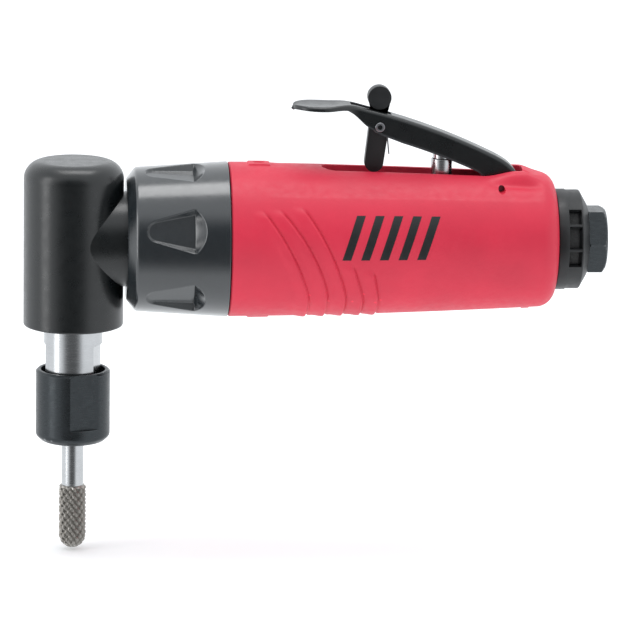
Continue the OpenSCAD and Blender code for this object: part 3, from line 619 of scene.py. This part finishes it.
def make_head():
    """The head with its neck. Known fault: it is solid above its mouth, where the CAD node is hollow."""
    low, high, fillet = HEAD_LOW.z, HEAD_HIGH.z, HEAD_FILLET
    crown = [(high - fillet + fillet * math.sin(a), HEAD_R - fillet + fillet * math.cos(a))
             for a in np.radians(np.linspace(0, 84, 22))]
    mouth = [(low + MOUTH_DEPTH, 0.0), (low + MOUTH_DEPTH, MOUTH_R), (low + 0.3, MOUTH_R),
             (low, MOUTH_R + 0.3)]
    rim = [(low, HEAD_R - 0.5), (low + 0.15, HEAD_R - 0.15), (low + 0.5, HEAD_R)]
    outline = mouth + rim + crown + [(high, 0.0)]
    head = revolve("head", refined(outline, 0.9), axis="z", centre=(HEAD_X, 0.0), steps=256)
    neck_end_x = RING_FRONT_X + 13.0
    neck_outline = refined([(HEAD_X, 0), (HEAD_X, NECK_R), (neck_end_x, NECK_R), (neck_end_x, 0)], 0.9)
    neck = revolve("neck", neck_outline, steps=256)
    combine(head, neck, "UNION")
    cavity = [(low + 3.0, 0), (low + 3.0, MOUTH_R), (low + MOUTH_DEPTH, MOUTH_R), (low + MOUTH_DEPTH, 0)]
    combine(head, revolve("cavity", cavity, axis="z", centre=(HEAD_X, 0.0), steps=256), "DIFFERENCE")
    dress(head, "black_enamel", "root", "angle_head", sharp=12)


# ---- Throttle lever ----

LEVER_FRONT_X = GRIP_REAR_X - 57.9
LEVER_TIP_X = LEVER_LOW.x
LEVER_HALF_WIDTH = 4.1
LEVER_SHEET = 1.3
LOCK_SLOT = (LOCK_X - 8.4, LOCK_X + 3.5)
LOCK_SLOT_HALF_WIDTH = 2.3


def lever_top(x):
    u = x - LEVER_FRONT_X
    arched = 39.5 - 0.222 * u - 0.0033 * u ** 2
    spoon = 40.15 + 0.10 * np.cos((x - LEVER_TIP_X) / 3.0)
    return float(arched + (spoon - arched) * (1 - smoothstep(LEVER_FRONT_X - 9, LEVER_FRONT_X + 3, x)))


def lever_half_width(x):
    paddle_x, paddle_half = LEVER_TIP_X + 6.6, 7.3
    if x < paddle_x:
        return max(1.0, paddle_half * math.sqrt(max(0.0, 1 - ((paddle_x - x) / 6.7) ** 2)))
    narrow = float(smoothstep(paddle_x + 1, LEVER_FRONT_X + 0.5, x))
    return paddle_half + (LEVER_HALF_WIDTH - paddle_half) * narrow


def lever_depth(x):
    stations = [LEVER_TIP_X, LEVER_FRONT_X - 3, LEVER_FRONT_X - 0.8, LEVER_FRONT_X + 2, LEVER_FRONT_X + 7,
                LEVER_FRONT_X + 13]
    return float(np.interp(x, stations, [1.35, 1.6, 2.8, 4.8, 6.6, 7.1]))


def lever_sections():
    """Each section: the top's place, the way down its sides and its half width."""
    bend_x = LEVER_FRONT_X + 39
    foot = np.array([PIVOT_X - 1.5, PIVOT_Z - 3.0])
    stations = LEVER_TIP_X + 6.6 * (1 - np.cos(np.linspace(0.05, math.pi / 2, 16)))
    stations = list(stations) + list(np.arange(LEVER_TIP_X + 7.4, bend_x - 0.4, 0.8))
    clear = [s for s in stations if min(abs(s - edge) for edge in LOCK_SLOT) > 0.3]
    stations = sorted(clear + list(LOCK_SLOT))
    sections = []
    for x in stations:
        reach = smoothstep(bend_x - 4.5, bend_x - 0.5, x)
        down = np.array([0.0, -lever_depth(x)])
        toward = foot + (-3.0, 4.0) - (x, lever_top(x))
        sections.append((np.array([x, lever_top(x)]), down + (toward - down) * reach, lever_half_width(x)))
    start = np.array([bend_x, lever_top(bend_x)])
    end = np.array([PIVOT_X + 6.15, PIVOT_Z])
    pulls = start + (4.5, -2.1), end + (0.0, 4.6)
    for t in np.linspace(0, 1, 22):
        left = 1 - t
        p = left ** 3 * start + 3 * t * left ** 2 * pulls[0] + 3 * t * t * left * pulls[1] + t ** 3 * end
        sections.append((p, foot + (-3.0 + 3.0 * t, 4.0 - 4.0 * t) - p, LEVER_HALF_WIDTH))
    last = np.array([PIVOT_X + 6.1, PIVOT_Z - 2.8])
    sections.append((last, foot - last, LEVER_HALF_WIDTH))
    return sections


def make_lever():
    corner_steps, flange_steps = 6, 7
    points = []
    sections = lever_sections()
    for place, down, half in sections:
        length = float(np.linalg.norm(down))
        way = down / length
        corner = min(1.35, length * 0.75, half * 0.8)
        flat = half - corner
        inner = min(LOCK_SLOT_HALF_WIDTH, flat * 0.9)
        dish = 0.55 * (1 - smoothstep(LEVER_FRONT_X - 8, LEVER_FRONT_X - 1, place[0]))
        right = []
        for k in range(1, 5):
            right.append((inner + (flat - inner) * k / 4, 0.0))
        for k in range(1, corner_steps + 1):
            turn = math.pi / 2 * k / corner_steps
            right.append((flat + corner * math.sin(turn), corner * (1 - math.cos(turn))))
        for k in range(1, flange_steps + 1):
            right.append((half, corner + (length - corner) * k / flange_steps))
        middle = [(inner * (k / 3 - 1), 0.0) for k in range(7)]
        row = [(-y, d) for y, d in reversed(right)] + middle + right
        for y, depth in row:
            sag = dish * max(0.0, 1 - (y / half) ** 2)
            x, z = place + way * depth
            points.append((x, y, z - sag))
    columns = 2 * (4 + corner_steps + flange_steps) + 7
    first_middle = 4 + corner_steps + flange_steps
    keep = np.ones((len(sections), columns), bool)
    for i, ((place, _, _), (after, _, _)) in enumerate(zip(sections, sections[1:])):
        if LOCK_SLOT[0] - 0.01 <= place[0] and after[0] <= LOCK_SLOT[1] + 0.01:
            keep[i, first_middle:first_middle + 6] = False
    lever = raw_object("lever", points, grid_faces(len(sections), columns, False, False, keep))
    point_skin_up(lever)
    thicken(lever, LEVER_SHEET)
    soften(lever, 0.22, 2, 50)
    dress(lever, "black_enamel", "throttle", "throttle_lever", sharp=40)


def point_skin_up(piece):
    """Turns an open skin over if its highest faces look down."""
    mesh = piece.data
    upward = sum(face.normal.z * face.area for face in mesh.polygons)
    if upward < 0:
        mesh.flip_normals()


def make_lock_lever():
    knob_r = 3.4
    knob_z = span("lock_lever")[1].z - knob_r
    foot_length, foot_r, lean = 10.95, 2.72, math.radians(7)
    turns = np.radians(np.linspace(90, -40, 27))
    heights = np.concatenate([knob_r * np.sin(turns), [-3.6, -5.0, -6.4, -8.2]])
    halves = np.concatenate([knob_r * np.cos(turns), [2.50, 2.50, 2.65, 2.9]])
    right = [(LOCK_X + half, knob_z + height) for height, half in zip(heights[1:], halves[1:])]
    left = [(LOCK_X - half, knob_z + height) for height, half in zip(heights, halves)]
    foot = []
    for a, b in arc(0, -foot_length, foot_r, 360, 180, 20):
        across = a * math.cos(lean) + b * math.sin(lean)
        foot.append((LOCK_X + across, LOCK_Z - a * math.sin(lean) + b * math.cos(lean)))
    lock = prism("lock_off_lever", right + foot + left[::-1], -1.6, 1.6, "xz")
    knob_outline = arc(LOCK_X, knob_z, knob_r - 0.02, 0, 360, 48)[:-1]
    combine(lock, prism("knob", knob_outline, -2.0, 2.0, "xz"), "UNION")
    bore_r, bore_end = 1.4, 5
    bore = [(-bore_end, 0), (-bore_end, bore_r), (bore_end, bore_r), (bore_end, 0)]
    combine(lock, revolve("bore", bore, axis="y", centre=(LOCK_X, LOCK_Z), steps=32), "DIFFERENCE")
    soften(lock, 0.55, 4, 50)
    dress(lock, "black_plastic", "lock", "lock_lever", sharp=40)


def make_lock_pin():
    end = (PIN_HIGH.y - PIN_LOW.y) / 2
    corners = [(-end, 0.7, 0), (-end, 1.38, 0.25), (-end + 0.4, 1.38, 0.1), (-end + 0.4, 1.3, 0),
               (end - 0.4, 1.3, 0), (end - 0.4, 1.38, 0.1), (end, 1.38, 0.25), (end, 0.7, 0)]
    rivet = revolve("lock_rivet", rounded(corners), axis="y", centre=(LOCK_X, LOCK_Z), steps=48, closed=True)
    dress(rivet, "dark_steel", "throttle", "lock_pin")


# ---- Valve parts that show ----

# The plunger is wider and its bush shorter here than in the CAD, as the photo shows them
PLUNGER_R = 3.1
GUIDE_TOP_Z = 16.55
VALVE_TRAVEL = 3.64


def make_plunger():
    low, high = span("valve_plunger")[0].z, span("valve_plunger")[1].z
    foot_z = GUIDE_TOP_Z + 0.15
    flange_x = VALVE_X + 1.6
    shoulder_z = lever_top(flange_x) - lever_depth(flange_x) - 0.3
    corners = [(low, 0, 0), (low, 3.7, 0.2), (low + 1.2, 3.7, 0.2), (low + 1.2, 1.6, 0.2), (9.8, 1.6, 0),
               (9.8, 2.55, 0.2), (11.95, 2.55, 0), (11.95, 1.75, 0), (13.05, 1.75, 0), (13.05, 2.55, 0),
               (foot_z, 2.55, 0), (foot_z, PLUNGER_R, 0.1), (shoulder_z, PLUNGER_R, 0.2),
               (shoulder_z + 0.2, 2.7, 0), (shoulder_z + 1.4, 2.7, 0), (high - 0.5, 2.55, 0.9),
               (high, 1.0, 0.4), (high, 0, 0)]
    plunger = revolve("plunger", rounded(corners), axis="z", centre=(VALVE_X, 0.0), steps=64)
    dress(plunger, "bright_steel", "valve", "valve_plunger")
    bore_r = PLUNGER_R + 0.05
    step_z = GUIDE_TOP_Z - VALVE_TRAVEL
    corners = [(9.0, 2.6, 0), (9.0, 3.4, 0.2), (15.2, 3.4, 0), (15.22, 3.7, 0.1), (GUIDE_TOP_Z, 3.7, 0.2),
               (GUIDE_TOP_Z, bore_r, 0.1), (step_z, bore_r, 0), (step_z, 2.6, 0)]
    guide = revolve("guide_bush", rounded(corners), axis="z", centre=(VALVE_X, 0.0), steps=64, closed=True)
    dress(guide, "bright_steel", "root", "plunger_guide")


# ---- Inlet and exhaust ----

# Each window's middle and half its width, in degrees
WINDOW_MIDDLE, WINDOW_PITCH = 90 - 12.2, 25.5
WINDOWS = [(WINDOW_MIDDLE - WINDOW_PITCH, 9.3), (WINDOW_MIDDLE, 12.9), (WINDOW_MIDDLE + WINDOW_PITCH, 9.3)]
DEFLECTOR_WALL = 1.6


def make_deflector():
    """The ring with its windows. Known fault: the even offset of its wall draws the inner side out
    far past the ring's front, inside the motor."""
    front_x, rear_x = DEFLECTOR_LOW.x, DEFLECTOR_HIGH.x
    outer_r = DEFLECTOR_HIGH.z
    window_x = (front_x + 2.9, front_x + 6.6)
    corners = [(front_x, outer_r, 0), (window_x[0] - 0.05, outer_r, 0), (window_x[0], outer_r - 0.22, 0),
               (window_x[1], outer_r - 0.22, 0), (rear_x - 2.4, outer_r - 0.1, 0.5),
               (rear_x, outer_r - 4.3, 0.4), (rear_x, 8.3, 0)]
    outline = rounded(corners)

    def open_windows(x, angle):
        degrees = np.degrees(angle)
        stays = np.ones(x.shape, bool)
        for centre, half in WINDOWS:
            stays &= ~((np.abs(degrees - centre) < half) & (x > window_x[0]) & (x < window_x[1]))
        return stays

    skin = revolve("exhaust_ring", outline, steps=360, keep=open_windows)
    aim_skin_out(skin)
    thicken(skin, DEFLECTOR_WALL)
    soften(skin, 0.12, 2, 50)
    dress(skin, "black_plastic", "deflector", "exhaust_deflector", sharp=40)


def aim_skin_out(piece):
    """Turns an open skin round the motor axis over if it faces the axis."""
    mesh = piece.data
    outward = sum(Vector((0, f.center.y, f.center.z)).dot(f.normal) * f.area for f in mesh.polygons)
    if outward < 0:
        mesh.flip_normals()


def hexagon(radius_to_flat, angle):
    """Distance to a hexagon's side with a flat straight up."""
    sector = math.radians(60)
    turn = (angle + sector / 2) % sector - sector / 2
    return radius_to_flat / np.cos(turn)


def make_inlet():
    flat, bore_r = BUSHING_HIGH.z, 5.7
    length = -DEFLECTOR_HIGH.x - 0.1
    rear_face = BUSHING_LOW.x
    corner_r = flat / math.cos(math.radians(30))

    def shape(x, radius, angle):
        on_hex = (radius > 8.2) & (x > -length - 0.01)
        chamfer = corner_r - 1.6 * (1 - np.clip(-x / 1.1, 0, 1))
        return np.where(on_hex, np.minimum(np.minimum(hexagon(flat, angle), radius), chamfer), radius)

    hex_corners = [(-length, corner_r - 0.25), (-length + 0.3, corner_r), (-1.1, corner_r), (0, corner_r)]
    hex_outline = refined(hex_corners, 0.4)
    outline = [(rear_face, 4.8), (rear_face, 7.7), (GRIP_REAR_X - 1.5, 7.7), (GRIP_REAR_X - 1.5, 8.1),
               (-length - 1.6, 8.1), (-length - 1.6, 7.3), (-length - 0.6, 7.3), (-length - 0.6, 8.1),
               (-length, 8.1)]
    outline += [tuple(p) for p in hex_outline]
    outline += [(0, bore_r + 0.7), (-0.7, bore_r), (-12, bore_r), (-12, 4.8)]
    bushing = revolve("hex_inlet", outline, shape, steps=360, closed=True)
    dress(bushing, "black_oxide", "root", "inlet_bushing", sharp=24)


# ---- Spindle, nut and burr ----

SPINDLE_R = 8.5
SPINDLE_FLAT_ANGLE = math.radians(-15)
SPINDLE_FLAT_DISTANCE = 7.15
NUT_R = 10.8
NUT_FLAT_ANGLE = math.radians(-71.5)
NUT_FLAT_DISTANCE = 9.8
NUT_BORE_R = 7.56


def flat_sided(radius, angle, normal, distance):
    """The radius, cut back by two opposite flats at a distance from the axis."""
    limit = distance / np.maximum(np.abs(np.cos(angle - normal)), 0.05)
    return np.minimum(radius, limit)


def make_spindle():
    low, high = span("spindle")[0].z, span("spindle")[1].z
    flat_low, flat_high = -40.7, -30.6
    corners = [(low, 4.75, 0), (low, 7.5, 0.3), (-40.5, 7.5, 0), (-40.6, SPINDLE_R, 0),
               (flat_high, SPINDLE_R, 0), (-20.6, SPINDLE_R, 0.3), (-20.6, 5.97, 0), (-13.3, 5.97, 0),
               (-13.3, 4.98, 0), (-2, 4.98, 0), (-2, 3.97, 0), (high - 0.4, 3.97, 0.2), (high, 3.6, 0),
               (high, 0, 0), (-37, 0, 0), (-37, 4.75, 0)]
    outline = refined(rounded(corners), 0.5)

    def shape(z, radius, angle):
        cut = flat_sided(radius, angle, SPINDLE_FLAT_ANGLE, SPINDLE_FLAT_DISTANCE)
        return np.where((z > flat_low - 0.2) & (z < flat_high) & (radius > 7.6), cut, radius)

    spindle = revolve("spindle_shaft", outline, shape, "z", (HEAD_X, 0.0), 256, closed=True)
    dress(spindle, "bright_steel", "output_spindle", "spindle", sharp=28)


def make_nut():
    low, high = NUT_LOW.z, NUT_HIGH.z
    ledge_z = low + 4.9
    side = [(low, 4.4, 0), (low, NUT_R - 1.8, 0.8), (low + 1.7, NUT_R, 0.7), (ledge_z - 0.02, NUT_R, 0),
            (ledge_z, NUT_R, 0), (high - 0.6, NUT_R, 0), (high, NUT_R - 0.6, 0.2), (high, 9.35, 0.25),
            (high - 2.4, 9.3, 0), (high - 2.4, NUT_BORE_R, 0), (-53.4, NUT_BORE_R, 0),
            (-53.4, 6.2, 0), (-56.0, 6.2, 0),
            (-56.0, 6.0, 0), (-58.1, 4.2, 0)]
    outline = refined(rounded(side), 0.6)

    def shape(z, radius, angle):
        cut = flat_sided(radius, angle, NUT_FLAT_ANGLE, NUT_FLAT_DISTANCE)
        return np.where((z > ledge_z - 0.01) & (radius > 9.5), cut, radius)

    nut = revolve("clamp_nut", outline, shape, "z", (HEAD_X, 0.0), 288, closed=True)
    dress(nut, "black_oxide", "output_spindle", "collet_nut", sharp=24)


def make_shank():
    low, high = span("burr_shank")[0].z, span("burr_shank")[1].z
    outline = refined(rounded([(low, 0, 0), (low, SHANK_R, 0.1), (high, SHANK_R, 0.4), (high, 0, 0)]), 1.0)
    shank = revolve("quarter_inch_shank", outline, axis="z", centre=(HEAD_X, 0.0), steps=96)
    dress(shank, "bright_steel", "output_spindle", "burr_shank")


def make_burr():
    """A round-nosed head with crossed helical flutes, which leave rows of diamond-shaped teeth."""
    low, high = BURR_LOW.z, BURR_HIGH.z
    burr_r = (BURR_HIGH.y - BURR_LOW.y) / 2
    right_flutes, left_flutes = 13, 9
    right_lead, left_lead = 30.0, 24.0
    turns = np.radians(np.linspace(0, 90, 40))
    nose = [(low + burr_r * (1 - math.cos(a)), burr_r * math.sin(a)) for a in turns]
    outline = nose + [(z, burr_r) for z in np.linspace(low + burr_r, high - 0.6, 110)[1:]]
    outline += [(high - 0.15, burr_r - 0.35), (high, burr_r - 0.7), (high, 0)]

    def flute(phase, sharpness):
        wave = phase / (2 * math.pi) % 1.0
        return np.clip(1 - np.abs(wave - 0.35) / np.where(wave < 0.35, 0.35, sharpness), 0, 1)

    def shape(z, radius, angle):
        up = z - low
        right = flute(right_flutes * angle + 2 * math.pi * up / right_lead * right_flutes, 0.45)
        left = flute(-left_flutes * angle + 2 * math.pi * up / left_lead * left_flutes, 0.40)
        fade = smoothstep(0.4, 2.2, radius) * (radius > 0.2)
        depth = 0.50 * right ** 1.2 + 0.34 * left ** 1.3
        return radius - fade * np.minimum(depth, 0.62) * smoothstep(0.0, 1.0, high - z + 0.3)

    burr = revolve("burr", outline, shape, "z", (HEAD_X, 0.0), 360)
    dress(burr, "carbide", "output_spindle", "burr_head", sharp=48)


# ---- CAD nodes ----

def paint_frame():
    """Paints every CAD node. Those that a piece replaces are hidden."""
    for part in frame["record"]["subparts"]:
        node = frame["nodes"][part["node"]]
        node.data.materials.clear()
        node.data.materials.append(MATERIALS[part["material_slot"]])


# ---- Studio ----

def area_light(name, place, aim, size, power, tint=(1, 1, 1)):
    data = bpy.data.lights.new(name, "AREA")
    data.shape = "RECTANGLE"
    data.size, data.size_y = size
    data.energy = power
    data.color = tint
    light = bpy.data.objects.new(name, data)
    light.location = place
    light.rotation_euler = (Vector(aim) - Vector(place)).to_track_quat("-Z", "Y").to_euler()
    bpy.context.scene.collection.objects.link(light)


def make_world():
    """White all round, with a darker card in front that gives round steel its dark middle."""
    world = bpy.data.worlds.new("studio")
    world.use_nodes = True
    tree = world.node_tree
    direction = tree.nodes.new("ShaderNodeTexCoord")
    toward_card = tree.nodes.new("ShaderNodeVectorMath")
    toward_card.operation = "DOT_PRODUCT"
    toward_card.inputs[1].default_value = Vector((-0.10, -0.985, 0.03)).normalized()
    level = tree.nodes.new("ShaderNodeMapRange")
    level.interpolation_type = "SMOOTHSTEP"
    for name, value in (("From Min", 0.64), ("From Max", 0.95), ("To Min", 1.06), ("To Max", 0.12)):
        level.inputs[name].default_value = value
    background = tree.nodes["Background"]
    background.inputs["Color"].default_value = (0.97, 1.0, 1.03, 1)
    tree.links.new(direction.outputs["Generated"], toward_card.inputs[0])
    tree.links.new(toward_card.outputs["Value"], level.inputs["Value"])
    tree.links.new(level.outputs["Result"], background.inputs["Strength"])
    bpy.context.scene.world = world


def make_studio():
    make_world()
    floor_z = cad_low.z - 0.0006
    half = 4.0
    corners = [(x * half, y * half, floor_z) for x, y in ((-1, -1), (1, -1), (1, 1), (-1, 1))]
    mesh = bpy.data.meshes.new("floor")
    mesh.from_pydata(corners, [], [(0, 1, 2, 3)])
    floor = bpy.data.objects.new("floor", mesh)
    bpy.context.scene.collection.objects.link(floor)
    surface = Surface("pale_floor", specular=0.1)
    tone = surface.noise(0.01, 2.0)
    surface.colour(surface.mixed(surface.ranged(tone, 0, 1), (0.94, 0.94, 0.94), (0.96, 0.96, 0.96)))
    surface.roughness(surface.ranged(tone, 0.85, 0.95))
    surface.shader.inputs["Emission Color"].default_value = (1, 1, 1, 1)
    surface.shader.inputs["Emission Strength"].default_value = 0.16
    mesh.materials.append(surface.material)
    floor.visible_glossy = False
    middle = (cad_low + cad_high) / 2
    area_light("top", (middle.x, 0.02, 0.75), middle, (0.6, 0.3), 2.0)
    area_light("left", (middle.x - 0.90, -0.32, 0.15), middle, (0.30, 0.9), 2.2)


def make_camera():
    azimuth, elevation, roll = math.radians(-4.8), math.radians(12.5), math.radians(0.95)
    distance, lens = 1.35, 260
    aim = Vector((-0.0829, 0.0, -0.0242))
    back = Vector((math.sin(azimuth) * math.cos(elevation), -math.cos(azimuth) * math.cos(elevation),
                   math.sin(elevation)))
    data = bpy.data.cameras.new("camera")
    data.lens = lens
    data.sensor_width = 36
    data.clip_start, data.clip_end = 0.05, 20
    camera = bpy.data.objects.new("camera", data)
    camera.location = aim + back * distance
    turn = (-back).to_track_quat("-Z", "Y")
    camera.rotation_euler = (turn.to_matrix() @ Matrix.Rotation(roll, 3, "Z")).to_euler()
    bpy.context.scene.collection.objects.link(camera)
    bpy.context.scene.camera = camera


paint_frame()
make_grip()
make_side_bars()
make_coupling_ring()
make_head()
make_lever()
make_lock_lever()
make_lock_pin()
make_plunger()
make_deflector()
make_inlet()
make_spindle()
make_nut()
make_shank()
make_burr()
make_studio()
make_camera()
bpy.context.scene.view_settings.view_transform = "Standard"

bpy.context.view_layer.update()
